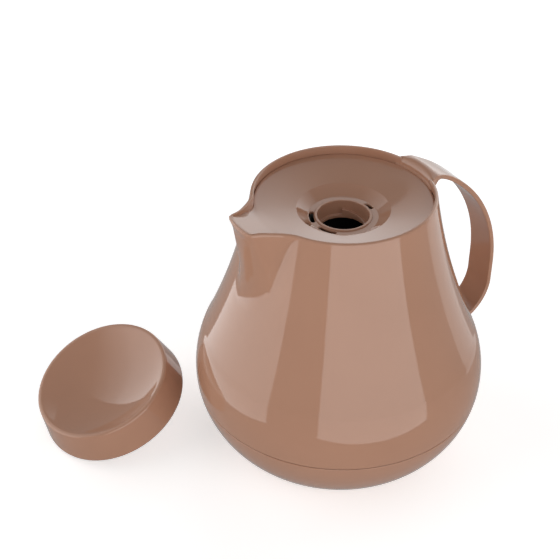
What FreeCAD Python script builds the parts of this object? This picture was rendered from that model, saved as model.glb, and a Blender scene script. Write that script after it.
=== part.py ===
import FreeCAD, Part
import math
import os
import Sketcher

# Insulated teapot with a glass flask, shown with its lid taken off and leaning beside it.
# Millimetres, +Z up. The origin is on the pot's axis, in the plane it stands on.
# The strap handle points along +X and the beak along -X.

SIZES = {
    # Moulded body, a pear shape of two tangent arcs from the rim down to the seam
    "rim_radius": 48.0,
    "rim_height": 157.0,
    "flank_arc": 361.0,
    "belly_arc": 61.2,
    "belly_radius": 80.0,
    "belly_height": 45.5,
    "seam_height": 37.8,
    "seam_bevel": 0.5,
    "body_wall": 2.4,
    "rim_lip": 2.0,
    # Ledge inside the rim, on which the pouring tray sits
    "ledge_drop": 8.0,
    "ledge_width": 2.5,
    "ledge_thickness": 2.0,
    "ledge_web": 3.5,
    # Beak, from its lip in the rim plane down to the toe where it runs out on the flank
    "beak_reach": 63.4,
    "beak_flare_angle": 32.0,
    "beak_throat_arc": 31.0,
    "beak_corner": 3.0,
    "beak_drop": 47.0,
    "beak_toe_reach": 57.0,
    "beak_toe_corner": 6.0,
    "beak_wall": 2.0,
    "beak_root": 24.0,
    # Strap handle, moulded with the body
    "handle_gap": 19.1,
    "handle_rise": 1.89,
    "handle_straight": 12.0,
    "handle_tuck_arc": 26.0,
    "handle_tuck_drop": 1.5,
    "handle_sink": 6.0,
    "strap_thickness": 2.6,
    "strap_half_width": 9.2,
    "strap_root_half_width": 15.3,
    "strap_flare_length": 14.0,
    # Base cap, a shallow bowl that closes the body from below
    "foot_arc": 54.8,
    "foot_bevel_rise": 1.0,
    "foot_bevel_width": 2.0,
    "foot_ring_width": 4.5,
    "foot_recess": 2.5,
    "foot_recess_draft": 1.0,
    "cap_wall": 2.4,
    "spigot_height": 9.0,
    "spigot_clearance": 0.5,
    "cup_height": 7.0,
    "cup_wall": 2.0,
    "cap_rib_height": 5.0,
    "cap_rib_margin": 4.0,
    "cap_rib_thickness": 1.6,
    "cap_rib_count": 6,
    # Pouring tray, with its well, collar and bore
    "tray_clearance": 0.3,
    "tray_edge_drop": 5.0,
    "tray_wall": 2.3,
    "well_radius": 24.4,
    "well_drop": 10.0,
    "collar_radius": 18.3,
    "collar_drop": 14.6,
    "collar_wall": 1.9,
    "bore_radius": 13.5,
    "bore_bead": 1.1,
    "bore_bead_rise": 0.6,
    "mouth_radius": 12.3,
    "mouth_lip": 1.6,
    "tube_wall": 1.5,
    "tube_drop": 24.0,
    # Openings through the collar: two towards the beak, one vent towards the handle
    "slot_inner_radius": 15.3,
    "slot_outer_radius": 18.0,
    "slot_side_angle": 26.5,
    "slot_half_angle": 19.0,
    "vent_outer_radius": 17.2,
    "vent_half_angle": 10.0,
    # Floor of the beak, a tongue of the tray
    "tongue_thickness": 2.0,
    "tongue_lip_drop": 0.5,
    # Glass flask, two bottles one in the other
    "glass_wall": 1.6,
    "vacuum_gap": 3.4,
    "flask_room": 21.0,
    "flask_foot_height": 16.0,
    "flask_heel_share": 0.644,
    "flask_shoulder_share": 0.5085,
    "flask_neck_share": 0.1027,
    "flask_neck_arc": 10.0,
    "flask_neck_radius": 25.0,
    "flask_lip_drop": 24.0,
    "tip_length": 6.0,
    "tip_radius": 4.0,
    "tip_end_radius": 2.0,
    # Pads that keep the two glass walls apart
    "spacer_radius": 5.0,
    "spacer_clearance": 0.1,
    "spacer_count": 3,
    # Rubber parts that hold the flask
    "gasket_thickness": 3.0,
    "gasket_inset": 0.4,
    "clamp_inset": 1.2,
    "cushion_margin": 1.3,
    "cushion_bore": 6.5,
    "cushion_clearance": 0.3,
    # Lid: a dished top with a flared skirt
    "lid_rim_radius": 39.0,
    "lid_skirt_radius": 42.5,
    "lid_height": 22.0,
    "lid_lip": 2.2,
    "lid_wall": 2.2,
    "dish_depth": 10.0,
    "skirt_round": 3.0,
    # Plate under the lid, with the boss and the hooks that lock it on the collar
    "plate_clearance": 0.3,
    "plate_inset": 1.5,
    "plate_thickness": 2.0,
    "boss_radius": 19.3,
    "boss_depth": 7.4,
    "boss_wall": 2.0,
    "hook_inset": 0.4,
    "hook_depth": 12.4,
    "hook_foot": 1.3,
    "hook_stem_angle": 5.0,
    "hook_foot_angle": 13.0,
    # Domed seal under the boss
    "seal_radius": 14.6,
    "seal_dome_arc": 25.0,
    "seal_dome_rise": 11.5,
    "stud_radius": 3.0,
    "stud_head": 4.0,
    "stud_head_height": 1.5,
    "stud_clearance": 0.1,
    # Where the lid leans beside the pot, aside from the belly on the beak's side and across
    "lid_aside": 29.6,
    "lid_across": 65.9,
    "lid_lean_azimuth": 186.0,
    # Overrun of the cuts
    "overrun": 10.0,
}

# Radii, heights and arc centres that follow from those sizes
FORMS = {
    # Centres of the belly arc and of the flank arc, which is tangent to it and ends at the rim
    "belly_out": "belly_radius - belly_arc",
    "rim_run": "rim_radius - belly_out",
    "rim_rise": "rim_height - belly_height",
    "rim_far": "sqrt(rim_run ^ 2 + rim_rise ^ 2)",
    "arcs_far": "belly_arc + flank_arc",
    "flank_along": "(arcs_far ^ 2 - flank_arc ^ 2 + rim_far ^ 2) / (2 * rim_far)",
    "flank_aside": "sqrt(arcs_far ^ 2 - flank_along ^ 2)",
    "flank_out": "belly_out + (rim_run * flank_along + rim_rise * flank_aside) / rim_far",
    "flank_up": "belly_height + (rim_rise * flank_along - rim_run * flank_aside) / rim_far",
    "meet_out_share": "(flank_out - belly_out) / arcs_far",
    "meet_up_share": "(flank_up - belly_height) / arcs_far",
    # Seam between the body and the base cap
    "seam_fall": "belly_height - seam_height",
    "seam_skin": "belly_out + sqrt(belly_arc ^ 2 - (seam_fall - seam_bevel) ^ 2)",
    "seam_inner": "belly_out + sqrt((belly_arc - body_wall) ^ 2 - seam_fall ^ 2)",
    # Inside of the rim
    "rim_inner": "rim_radius - rim_lip",
    "ledge_height": "rim_height - ledge_drop",
    "ledge_inner": "rim_inner - ledge_width",
    "ledge_foot": "ledge_height - ledge_thickness - ledge_web",
    "ledge_wall": "flank_out - sqrt((flank_arc + body_wall) ^ 2 - (ledge_foot - flank_up) ^ 2)",
    # Beak: centre of the throat arc, and the slope of the keel
    "throat_out": "(rim_radius + beak_throat_arc) * cos(beak_flare_angle)",
    "throat_across": "(rim_radius + beak_throat_arc) * sin(beak_flare_angle)",
    "keel_share": "(beak_reach - beak_toe_reach) / beak_drop",
    # Strap: it tucks into the belly, runs straight up, then follows an arc that ends just above the rim
    "handle_reach": "belly_radius + handle_gap",
    "tuck_height": "belly_height - handle_tuck_drop + handle_tuck_arc",
    "crown_height": "tuck_height + handle_straight",
    "handle_run": "handle_reach - rim_radius",
    "handle_climb": "rim_height + handle_rise - crown_height",
    "handle_arc": "(handle_run ^ 2 + handle_climb ^ 2) / (2 * handle_run)",
    # Strap: where it starts inside the rim, its arcs' centres, and the flare at its root
    "strap_root": "rim_inner - handle_sink",
    "strap_flare_reach": "rim_radius + strap_flare_length",
    "handle_out": "handle_reach - handle_arc",
    "tuck_out": "handle_reach - handle_tuck_arc",
    "flare_root": "sqrt(rim_radius ^ 2 - strap_root_half_width ^ 2)",
    "flare_run": "strap_flare_reach - flare_root",
    "flare_rise": "strap_root_half_width - strap_half_width",
    "flare_arc": "(flare_run ^ 2 + flare_rise ^ 2) / (2 * flare_rise)",
    # Base cap
    "foot_out": "belly_radius - foot_arc",
    "cap_skin": "foot_out + sqrt(foot_arc ^ 2 - (seam_fall + seam_bevel) ^ 2)",
    "foot_radius": "foot_out + sqrt(foot_arc ^ 2 - (belly_height - foot_bevel_rise) ^ 2)",
    "foot_edge": "foot_radius - foot_bevel_width",
    "foot_inner": "foot_edge - foot_ring_width",
    "cap_floor": "foot_recess + cap_wall",
    "cap_floor_radius": "foot_out + sqrt((foot_arc - cap_wall) ^ 2 - (belly_height - cap_floor) ^ 2)",
    "spigot_radius": "seam_inner - spigot_clearance",
    "spigot_inner": "spigot_radius - cap_wall",
    "spigot_root": "belly_height - sqrt((foot_arc - cap_wall) ^ 2 - (spigot_inner - foot_out) ^ 2)",
    "flask_radius": "belly_radius - flask_room",
    "flask_heel_arc": "flask_radius * flask_heel_share",
    "heel_out": "flask_radius - flask_heel_arc",
    "cushion_radius": "heel_out - cushion_margin",
    "cup_inner": "cushion_radius + cushion_clearance",
    "cup_outer": "cup_inner + cup_wall",
    "cap_rib_end": "cap_floor_radius - cap_rib_margin",
    # Flask: its lip hangs from the rim, and its shoulder arc and neck arc are tangent
    "lip_top": "rim_height - flask_lip_drop",
    "lip_foot": "lip_top - glass_wall",
    "flask_neck_length": "(lip_foot - flask_foot_height) * flask_neck_share",
    "heel_up": "flask_foot_height + flask_heel_arc",
    "flask_shoulder_arc": "flask_radius * flask_shoulder_share",
    "shoulder_out": "flask_radius - flask_shoulder_arc",
    "neck_out": "flask_neck_radius + flask_neck_arc",
    "neck_far": "flask_shoulder_arc + flask_neck_arc",
    "neck_run": "neck_out - shoulder_out",
    "neck_rise": "sqrt(neck_far ^ 2 - neck_run ^ 2)",
    "neck_up": "lip_foot - flask_neck_length",
    "flask_shoulder_height": "neck_up - neck_rise",
    "spacer_height": "(heel_up + flask_shoulder_height) / 2",
    "inner_depth": "glass_wall + vacuum_gap",
    "flask_mouth": "flask_neck_radius - inner_depth - glass_wall",
    # Pouring tray
    "tray_radius": "rim_inner - tray_clearance",
    "tray_edge": "rim_height - tray_edge_drop",
    "well_top": "rim_height - well_drop",
    "tray_fall_share": "(tray_edge - well_top) / (tray_radius - well_radius)",
    "collar_top": "rim_height - collar_drop",
    "collar_foot": "collar_top - collar_wall",
    "tube_radius": "bore_radius + tube_wall",
    "tube_foot": "rim_height - tube_drop",
    "clamp_foot": "lip_top + gasket_thickness",
    "clamp_inner": "flask_mouth + clamp_inset",
    "clamp_outer": "flask_neck_radius - clamp_inset",
    "clamp_root": "well_top - (well_radius - clamp_outer) * tray_fall_share - tray_wall",
    # Tongue of the tray inside the beak
    "tongue_inset": "beak_wall + tray_clearance",
    "tongue_reach": "beak_reach - (tongue_thickness + tongue_lip_drop) * keel_share",
    "tongue_root": "tray_radius - ledge_width",
    "tongue_root_top": "tray_edge - ledge_width * tray_fall_share",
    "tongue_end": "tongue_reach - tongue_inset",
    "tongue_end_top": "rim_height - tongue_lip_drop",
    "tongue_far": "beak_reach + overrun",
    "tongue_slope_share": "(tongue_end_top - tongue_root_top) / (tongue_end - tongue_root)",
    "tongue_far_top": "tongue_end_top + (tongue_far - tongue_end) * tongue_slope_share",
    # Lid, from the plane of its skirt's edge
    "dish_lip": "lid_rim_radius - lid_lip",
    "dish_arc": "(dish_lip ^ 2 + dish_depth ^ 2) / (2 * dish_depth)",
    "dish_low": "lid_height - dish_depth",
    "dish_up": "dish_low + dish_arc",
    "under_arc": "dish_arc + lid_wall",
    "skirt_edge": "lid_skirt_radius - skirt_round",
    "skirt_inner": "lid_skirt_radius - lid_wall",
    "skirt_top": "dish_lip - lid_wall / 2",
    "skirt_top_up": "dish_up - sqrt(under_arc ^ 2 - skirt_top ^ 2)",
    # Plate, boss and hooks under the lid
    "plate_seat": "skirt_edge + (skirt_inner - skirt_edge) * plate_inset / skirt_round",
    "plate_radius": "plate_seat - plate_clearance",
    "plate_top": "plate_inset + plate_thickness",
    "boss_inner": "boss_radius - boss_wall",
    "boss_floor": "boss_wall - boss_depth",
    "hook_inner": "slot_inner_radius + hook_inset",
    "hook_outer": "vent_outer_radius - hook_inset",
    # Domed seal
    "seal_edge": "seal_dome_rise - sqrt(seal_dome_arc ^ 2 - seal_radius ^ 2)",
    "seal_tip": "seal_dome_rise - seal_dome_arc",
    # Place of the lid beside the pot
    "lid_ahead": "-(belly_radius + lid_aside)",
}

doc = FreeCAD.newDocument("insulated_teapot")


def plain(text, own=""):
    """An expression written with bare names, with the name of the sheet put before each of them."""
    parts = []
    word = ""
    for letter in text + " ":
        if letter.isalnum() or letter == "_":
            word += letter
            continue
        sheet_name = "size." if word in SIZES else "form." if word in FORMS else ""
        parts.append(word if sheet_name == own else sheet_name + word)
        parts.append(letter)
        word = ""
    return "".join(parts).strip()


def fill_sheet(name, cells):
    sheet = doc.addObject("Spreadsheet::Sheet", name)
    for row, (alias, content) in enumerate(cells.items(), start=1):
        sheet.set("A%d" % row, alias)
        sheet.set("B%d" % row, content)
        sheet.setAlias("B%d" % row, alias)
    return sheet


size = fill_sheet("size", {alias: str(value) for alias, value in SIZES.items()})
form = fill_sheet("form", {alias: "=" + plain(text, "form.") for alias, text in FORMS.items()})
doc.recompute()


def amount(text):
    """The number that an expression on the sheets gives."""
    return float(size.evalExpression(plain(text)))


# Sketches

def new_body(name):
    body = doc.addObject("PartDesign::Body", name)
    body.Label = name
    return body


def new_sketch(body, name, plane, height="0", turn=0):
    """A sketch on one of the body's own planes, lifted off it and turned in it."""
    sketch = body.newObject("Sketcher::SketchObject", body.Name + "_" + name)
    support = [feature for feature in body.Origin.OriginFeatures if feature.Role == plane][0]
    sketch.AttachmentSupport = [(support, "")]
    sketch.MapMode = "FlatFace"
    turned = FreeCAD.Rotation(FreeCAD.Vector(0, 0, 1), turn)
    sketch.AttachmentOffset = FreeCAD.Placement(FreeCAD.Vector(0, 0, 0), turned)
    if height != "0":
        sketch.setExpression("AttachmentOffset.Base.z", plain(height))
    return sketch


def pin(sketch, line, end, axis, text):
    """Bind one coordinate of a line's end to an expression on the sheets."""
    value = amount(text)
    kind = "Distance" + axis
    if math.isclose(value, 0, abs_tol=1e-9):
        axis_line = -2 if axis == "X" else -1
        sketch.addConstraint(Sketcher.Constraint("PointOnObject", line, end, axis_line))
    elif value > 0:
        index = sketch.addConstraint(Sketcher.Constraint(kind, -1, 1, line, end, value))
        sketch.setExpression("Constraints[%d]" % index, plain(text))
    else:
        index = sketch.addConstraint(Sketcher.Constraint(kind, line, end, -1, 1, -value))
        sketch.setExpression("Constraints[%d]" % index, "-(%s)" % plain(text))


def arc_between(here, there, radius):
    """The shorter arc from here to there. A positive radius turns left, a negative one right."""
    chord = there - here
    left = FreeCAD.Vector(-chord.y, chord.x, 0).normalize()
    reach = math.sqrt(max(radius ** 2 - (chord.Length / 2) ** 2, 0))
    centre = (here + there) / 2 + left * math.copysign(reach, radius)
    start, end = (here, there) if radius > 0 else (there, here)
    circle = Part.Circle(centre, FreeCAD.Vector(0, 0, 1), abs(radius))
    first = math.atan2(start.y - centre.y, start.x - centre.x)
    last = math.atan2(end.y - centre.y, end.x - centre.x)
    return Part.ArcOfCircle(circle, first, last)


def draw(sketch, corners, bends=None):
    """A closed outline through corners, given as pairs of expressions.

    bends gives the signed radius of the side that starts at a corner, where that side is an arc.
    """
    bends = bends or {}
    spots = [FreeCAD.Vector(amount(x), amount(y), 0) for x, y in corners]
    first = sketch.GeometryCount
    heads = []
    tails = []
    for corner, here in enumerate(spots):
        there = spots[(corner + 1) % len(spots)]
        turns_right = False
        if corner in bends:
            radius = amount(bends[corner])
            turns_right = radius < 0
            sketch.addGeometry(arc_between(here, there, radius))
        else:
            sketch.addGeometry(Part.LineSegment(here, there))
        heads.append(2 if turns_right else 1)
        tails.append(1 if turns_right else 2)
    for corner, (x, y) in enumerate(corners):
        line = first + corner
        before = first + (corner - 1) % len(corners)
        tail = tails[(corner - 1) % len(corners)]
        sketch.addConstraint(Sketcher.Constraint("Coincident", before, tail, line, heads[corner]))
        pin(sketch, line, heads[corner], "X", x)
        pin(sketch, line, heads[corner], "Y", y)
    for corner, text in bends.items():
        radius = amount(text)
        index = sketch.addConstraint(Sketcher.Constraint("Radius", first + corner, abs(radius)))
        sign = "-" if radius < 0 else ""
        sketch.setExpression("Constraints[%d]" % index, "%s(%s)" % (sign, plain(text)))


def mirrored(corners):
    """Corners on the other side of the sketch's first axis, in the opposite order."""
    return [(x, "-(%s)" % y) for x, y in reversed(corners)]


# Features

def revolve(body, name, corners, bends=None, kind="Revolution"):
    """A full turn of an outline in the XZ plane about the upright axis."""
    sketch = new_sketch(body, name + "_outline", "XZ_Plane")
    draw(sketch, corners, bends)
    feature = body.newObject("PartDesign::" + kind, body.Name + "_" + name)
    feature.Profile = sketch
    feature.ReferenceAxis = (sketch, ["V_Axis"])
    feature.Angle = 360
    return feature


def extrude(body, name, sketch, length, kind="Pad", side="One side", backwards=False):
    feature = body.newObject("PartDesign::" + kind, body.Name + "_" + name)
    feature.Profile = sketch
    feature.SideType = side
    feature.Reversed = backwards
    feature.setExpression("Length", plain(length))
    return feature


def loft(body, name, lower, upper, kind="AdditiveLoft"):
    """A ruled form between two outlines with the same sides."""
    feature = body.newObject("PartDesign::" + kind, body.Name + "_" + name)
    feature.Profile = lower
    feature.Sections = [upper]
    feature.Ruled = True
    return feature


def draw_sector(sketch, inner, outer, start, end):
    """A piece of a ring between two radii and two angles."""
    corners = []
    for radius, angle in ((inner, start), (outer, start), (outer, end), (inner, end)):
        corners.append(("(%s) * cos(%s)" % (radius, angle), "(%s) * sin(%s)" % (radius, angle)))
    draw(sketch, corners, {1: outer, 3: "-(%s)" % inner})


# Outer body: rim, beak and strap handle in one moulding

def draw_beak(sketch, inset, reach, corner):
    """The beak's outline at one height, moved in by a wall. It runs from root to nose and back."""
    ring = "(rim_radius - %s)" % inset
    side = "(%s - %s)" % (reach, corner)
    waist = "(throat_across - sqrt((beak_throat_arc + %s) ^ 2 - (throat_out - %s) ^ 2))" % (inset, side)
    bend = "(%s - %s)" % (corner, inset)
    half = [
        ("%s - %s" % (reach, inset), "%s - %s" % (waist, bend)),
        (side, waist),
        (ring + " * cos(beak_flare_angle)", ring + " * sin(beak_flare_angle)"),
        ("beak_root", ring + " * sin(beak_flare_angle)"),
    ]
    throat = "-(beak_throat_arc + %s)" % inset
    draw(sketch, half + mirrored(half), {0: bend, 1: throat, 5: throat, 6: bend})


def beak_loft(body, name, inset, kind):
    toe = new_sketch(body, name + "_toe", "XY_Plane", "rim_height - beak_drop", 180)
    draw_beak(toe, inset, "beak_toe_reach", "beak_toe_corner")
    lip = new_sketch(body, name + "_lip", "XY_Plane", "rim_height", 180)
    draw_beak(lip, inset, "beak_reach", "beak_corner")
    return loft(body, name, toe, lip, kind)


def outer_body():
    body = new_body("outer_body")
    # Strap, drawn from the side and then narrowed from its flared root
    strap_inner = "(handle_arc - strap_thickness)"
    tuck_inner = "(handle_tuck_arc - strap_thickness)"
    root_run = "(strap_root - handle_out)"
    side = new_sketch(body, "strap_side", "XZ_Plane")
    draw(side, [
        ("strap_root", "crown_height + sqrt(handle_arc ^ 2 - %s ^ 2)" % root_run),
        ("handle_reach", "crown_height"),
        ("handle_reach", "tuck_height"),
        ("tuck_out", "tuck_height - handle_tuck_arc"),
        ("tuck_out", "tuck_height - %s" % tuck_inner),
        ("handle_reach - strap_thickness", "tuck_height"),
        ("handle_reach - strap_thickness", "crown_height"),
        ("strap_root", "crown_height + sqrt(%s ^ 2 - %s ^ 2)" % (strap_inner, root_run)),
    ], {0: "-handle_arc", 2: "-handle_tuck_arc", 4: tuck_inner, 6: strap_inner})
    extrude(body, "strap", side, "2 * strap_root_half_width", side="Symmetric")
    trim = new_sketch(body, "strap_trim", "XY_Plane")
    waste = [
        ("flare_root", "strap_root_half_width"),
        ("strap_flare_reach", "strap_half_width"),
        ("handle_reach + overrun", "strap_half_width"),
        ("handle_reach + overrun", "strap_root_half_width + overrun"),
        ("flare_root", "strap_root_half_width + overrun"),
    ]
    draw(trim, waste, {0: "flare_arc"})
    draw(trim, mirrored(waste), {3: "flare_arc"})
    extrude(body, "strap_narrowed", trim, "2 * (rim_height + overrun)", "Pocket", "Symmetric")
    # Pear-shaped form and beak, still solid
    meeting = ("belly_out + belly_arc * meet_out_share", "belly_height + belly_arc * meet_up_share")
    revolve(body, "pear", [
        ("0", "seam_height"),
        ("seam_skin - seam_bevel", "seam_height"),
        ("seam_skin", "seam_height + seam_bevel"),
        meeting,
        ("rim_radius", "rim_height"),
        ("0", "rim_height"),
    ], {2: "belly_arc", 3: "-flank_arc"})
    beak_loft(body, "beak", "0", "AdditiveLoft")
    # Hollow, with the ledge for the tray left standing below the rim
    within = "(belly_arc - body_wall)"
    revolve(body, "hollow", [
        ("0", "seam_height - overrun"),
        ("seam_inner", "seam_height - overrun"),
        ("seam_inner", "seam_height"),
        ("belly_out + %s * meet_out_share" % within, "belly_height + %s * meet_up_share" % within),
        ("ledge_wall", "ledge_foot"),
        ("ledge_inner", "ledge_height - ledge_thickness"),
        ("ledge_inner", "ledge_height"),
        ("rim_inner", "ledge_height"),
        ("rim_inner", "rim_height + overrun"),
        ("0", "rim_height + overrun"),
    ], {2: within, 3: "-(flank_arc + body_wall)"}, "Groove")
    beak_loft(body, "beak_hollow", "beak_wall", "SubtractiveLoft")
    return body


def base_cap():
    body = new_body("base_cap")
    inner_arc = "(foot_arc - cap_wall)"
    revolve(body, "bowl", [
        ("0", "foot_recess"),
        ("foot_inner - foot_recess_draft", "foot_recess"),
        ("foot_inner", "0"),
        ("foot_edge", "0"),
        ("foot_radius", "foot_bevel_rise"),
        ("cap_skin", "seam_height - seam_bevel"),
        ("cap_skin - seam_bevel", "seam_height"),
        ("spigot_radius", "seam_height"),
        ("spigot_radius", "seam_height + spigot_height"),
        ("spigot_inner", "seam_height + spigot_height"),
        ("spigot_inner", "spigot_root"),
        ("cap_floor_radius", "cap_floor"),
        ("cup_outer", "cap_floor"),
        ("cup_outer", "cap_floor + cup_height"),
        ("cup_inner", "cap_floor + cup_height"),
        ("cup_inner", "cap_floor"),
        ("0", "cap_floor"),
    ], {4: "foot_arc", 10: "-" + inner_arc})
    rib_side = new_sketch(body, "rib_side", "XZ_Plane")
    draw(rib_side, [
        ("cup_inner + cup_wall / 2", "foot_recess + cap_wall / 2"),
        ("cap_rib_end", "foot_recess + cap_wall / 2"),
        ("cap_rib_end", "cap_floor"),
        ("cup_outer", "cap_floor + cap_rib_height"),
        ("cup_inner + cup_wall / 2", "cap_floor + cap_rib_height"),
    ])
    rib = extrude(body, "rib", rib_side, "cap_rib_thickness", side="Symmetric")
    ribs = body.newObject("PartDesign::PolarPattern", "base_cap_ribs")
    ribs.Originals = [rib]
    ribs.Axis = (rib_side, ["V_Axis"])
    ribs.Angle = 360
    ribs.setExpression("Occurrences", plain("cap_rib_count"))
    body.Tip = ribs
    return body


def pouring_tray():
    body = new_body("pouring_tray")
    # Tongue that floors the beak: a plug of the beak's hollow, cut down to a slab that rises to the lip
    beak_loft(body, "tongue", "tongue_inset", "AdditiveLoft")
    side = new_sketch(body, "tongue_side", "XZ_Plane")
    draw(side, [
        ("0", "rim_height - beak_drop - overrun"),
        ("0", "rim_height + 2 * overrun"),
        ("-(tongue_far + overrun)", "rim_height + 2 * overrun"),
        ("-(tongue_far + overrun)", "rim_height - beak_drop - overrun"),
    ])
    draw(side, [
        ("-tongue_root", "tongue_root_top"),
        ("-tongue_root", "tongue_root_top - tongue_thickness"),
        ("-tongue_far", "tongue_far_top - tongue_thickness"),
        ("-tongue_far", "tongue_far_top"),
    ])
    extrude(body, "tongue_slab", side, "2 * (rim_radius + overrun)", "Pocket", "Symmetric")
    revolve(body, "dish", [
        ("mouth_radius", "tube_foot"),
        ("tube_radius", "tube_foot"),
        ("tube_radius", "collar_foot"),
        ("clamp_inner", "collar_foot"),
        ("clamp_inner", "clamp_foot"),
        ("clamp_outer", "clamp_foot"),
        ("clamp_outer", "clamp_root"),
        ("ledge_inner", "ledge_height"),
        ("tray_radius", "ledge_height"),
        ("tray_radius", "tray_edge"),
        ("well_radius", "well_top"),
        ("collar_radius", "collar_top"),
        ("bore_radius + bore_bead", "collar_top"),
        ("bore_radius + bore_bead", "collar_top + bore_bead_rise"),
        ("bore_radius", "collar_top + bore_bead_rise"),
        ("bore_radius", "tube_foot + mouth_lip"),
        ("mouth_radius", "tube_foot + mouth_lip"),
    ])
    slots = new_sketch(body, "slots", "XY_Plane", "collar_top + overrun")
    for side_sign in ("+", "-"):
        middle = "180 %s slot_side_angle" % side_sign
        start = "%s - slot_half_angle" % middle
        end = "%s + slot_half_angle" % middle
        draw_sector(slots, "slot_inner_radius", "slot_outer_radius", start, end)
    draw_sector(slots, "slot_inner_radius", "vent_outer_radius", "-vent_half_angle", "vent_half_angle")
    extrude(body, "slots_cut", slots, "collar_wall + 2 * overrun - bore_bead", "Pocket")
    return body


# Flask: two glass bottles, one inside the other, joined at the lip

def bottle_side(depth):
    """Corners up a bottle's side from its foot to its neck, a given depth inside the flask's skin."""
    bend = "(flask_shoulder_arc - %s) / neck_far" % depth
    corners = [
        ("0", "flask_foot_height + %s" % depth),
        ("heel_out", "flask_foot_height + %s" % depth),
        ("flask_radius - %s" % depth, "heel_up"),
        ("flask_radius - %s" % depth, "flask_shoulder_height"),
        ("shoulder_out + %s * neck_run" % bend, "flask_shoulder_height + %s * neck_rise" % bend),
        ("flask_neck_radius - %s" % depth, "neck_up"),
    ]
    heel = "(flask_heel_arc - %s)" % depth
    shoulder = "(flask_shoulder_arc - %s)" % depth
    neck = "(flask_neck_arc + %s)" % depth
    return corners, heel, shoulder, neck


def outer_flask():
    body = new_body("outer_flask")
    skin, heel, shoulder, neck = bottle_side("0")
    lining, inner_heel, inner_shoulder, inner_neck = bottle_side("glass_wall")
    tip = [
        ("0", "flask_foot_height - tip_length"),
        ("tip_end_radius", "flask_foot_height - tip_length"),
        ("tip_radius", "flask_foot_height"),
    ]
    rim = [
        ("flask_neck_radius", "lip_foot"),
        ("flask_neck_radius - glass_wall", "lip_foot"),
    ]
    corners = tip + skin[1:] + rim + lining[::-1]
    bends = {3: heel, 5: shoulder, 6: "-" + neck}
    bends.update({10: inner_neck, 11: "-" + inner_shoulder, 13: "-" + inner_heel})
    revolve(body, "wall", corners, bends)
    return body


def inner_flask():
    body = new_body("inner_flask")
    skin, heel, shoulder, neck = bottle_side("inner_depth")
    lining, inner_heel, inner_shoulder, inner_neck = bottle_side("(inner_depth + glass_wall)")
    lip = [
        ("flask_neck_radius - inner_depth", "lip_foot"),
        ("flask_neck_radius", "lip_foot"),
        ("flask_neck_radius", "lip_top"),
        ("flask_mouth", "lip_top"),
    ]
    corners = skin + lip + lining[::-1]
    bends = {1: heel, 3: shoulder, 4: "-" + neck}
    bends.update({10: inner_neck, 11: "-" + inner_shoulder, 13: "-" + inner_heel})
    revolve(body, "wall", corners, bends)
    return body


def flask_spacers():
    """Round pads between the glass walls, curved to fit the gap, evenly spaced."""
    gap = new_body("spacer_gap")
    skin, heel, shoulder, neck = bottle_side("(glass_wall + spacer_clearance)")
    lining, inner_heel, inner_shoulder, inner_neck = bottle_side("(inner_depth - spacer_clearance)")
    bends = {0: heel, 2: shoulder, 3: "-" + neck}
    bends.update({5: inner_neck, 6: "-" + inner_shoulder, 8: "-" + inner_heel})
    revolve(gap, "layer", skin[1:] + lining[:0:-1], bends)
    pegs = []
    for number in range(int(size.spacer_count)):
        peg = doc.addObject("Part::Cylinder", "spacer_peg_%d" % number)
        peg.setExpression("Radius", plain("spacer_radius"))
        peg.setExpression("Height", plain("flask_radius"))
        along = FreeCAD.Rotation(FreeCAD.Vector(0, 1, 0), 90)
        around = FreeCAD.Rotation(FreeCAD.Vector(0, 0, 1), 360 * (number + 1 / 2) / size.spacer_count)
        peg.Placement = FreeCAD.Placement(FreeCAD.Vector(0, 0, form.spacer_height), around * along)
        pegs.append(peg)
    star = doc.addObject("Part::MultiFuse", "spacer_star")
    star.Shapes = pegs
    spacers = doc.addObject("Part::Common", "flask_spacers")
    spacers.Base = gap
    spacers.Tool = star
    return spacers


def neck_gasket():
    body = new_body("neck_gasket")
    revolve(body, "ring", [
        ("flask_mouth + gasket_inset", "lip_top"),
        ("flask_neck_radius - gasket_inset", "lip_top"),
        ("flask_neck_radius - gasket_inset", "clamp_foot"),
        ("flask_mouth + gasket_inset", "clamp_foot"),
    ])
    return body


def base_cushion():
    body = new_body("base_cushion")
    revolve(body, "ring", [
        ("cushion_bore", "cap_floor"),
        ("cushion_radius", "cap_floor"),
        ("cushion_radius", "flask_foot_height"),
        ("cushion_bore", "flask_foot_height"),
    ])
    return body


# Lid, drawn upright about its own axis, from the plane of its skirt's edge

def lid_shell():
    body = new_body("lid_shell")
    revolve(body, "dish", [
        ("0", "dish_low - lid_wall"),
        ("skirt_top", "skirt_top_up"),
        ("skirt_inner", "skirt_round"),
        ("skirt_edge", "0"),
        ("lid_skirt_radius", "skirt_round"),
        ("lid_rim_radius", "lid_height"),
        ("dish_lip", "lid_height"),
        ("0", "dish_low"),
    ], {0: "under_arc", 3: "skirt_round", 6: "-dish_arc"})
    return body


def lid_plate():
    body = new_body("lid_plate")
    revolve(body, "plate", [
        ("stud_radius + stud_clearance", "-boss_depth"),
        ("boss_radius", "-boss_depth"),
        ("boss_radius", "plate_inset"),
        ("plate_radius", "plate_inset"),
        ("plate_radius", "plate_top"),
        ("boss_inner", "plate_top"),
        ("boss_inner", "boss_floor"),
        ("stud_radius + stud_clearance", "boss_floor"),
    ])
    stems = new_sketch(body, "stems", "XY_Plane", "-boss_depth")
    feet = new_sketch(body, "feet", "XY_Plane", "hook_foot - hook_depth")
    for start in ("180 - slot_side_angle", "180 + slot_side_angle", "0"):
        stem_end = "%s + hook_stem_angle" % start
        foot_start = "%s - hook_foot_angle" % start
        draw_sector(stems, "hook_inner", "hook_outer", start, stem_end)
        draw_sector(feet, "hook_inner", "hook_outer", foot_start, stem_end)
    extrude(body, "hook_stems", stems, "hook_depth - boss_depth - hook_foot / 2", backwards=True)
    extrude(body, "hook_feet", feet, "hook_foot", backwards=True)
    return body


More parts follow.
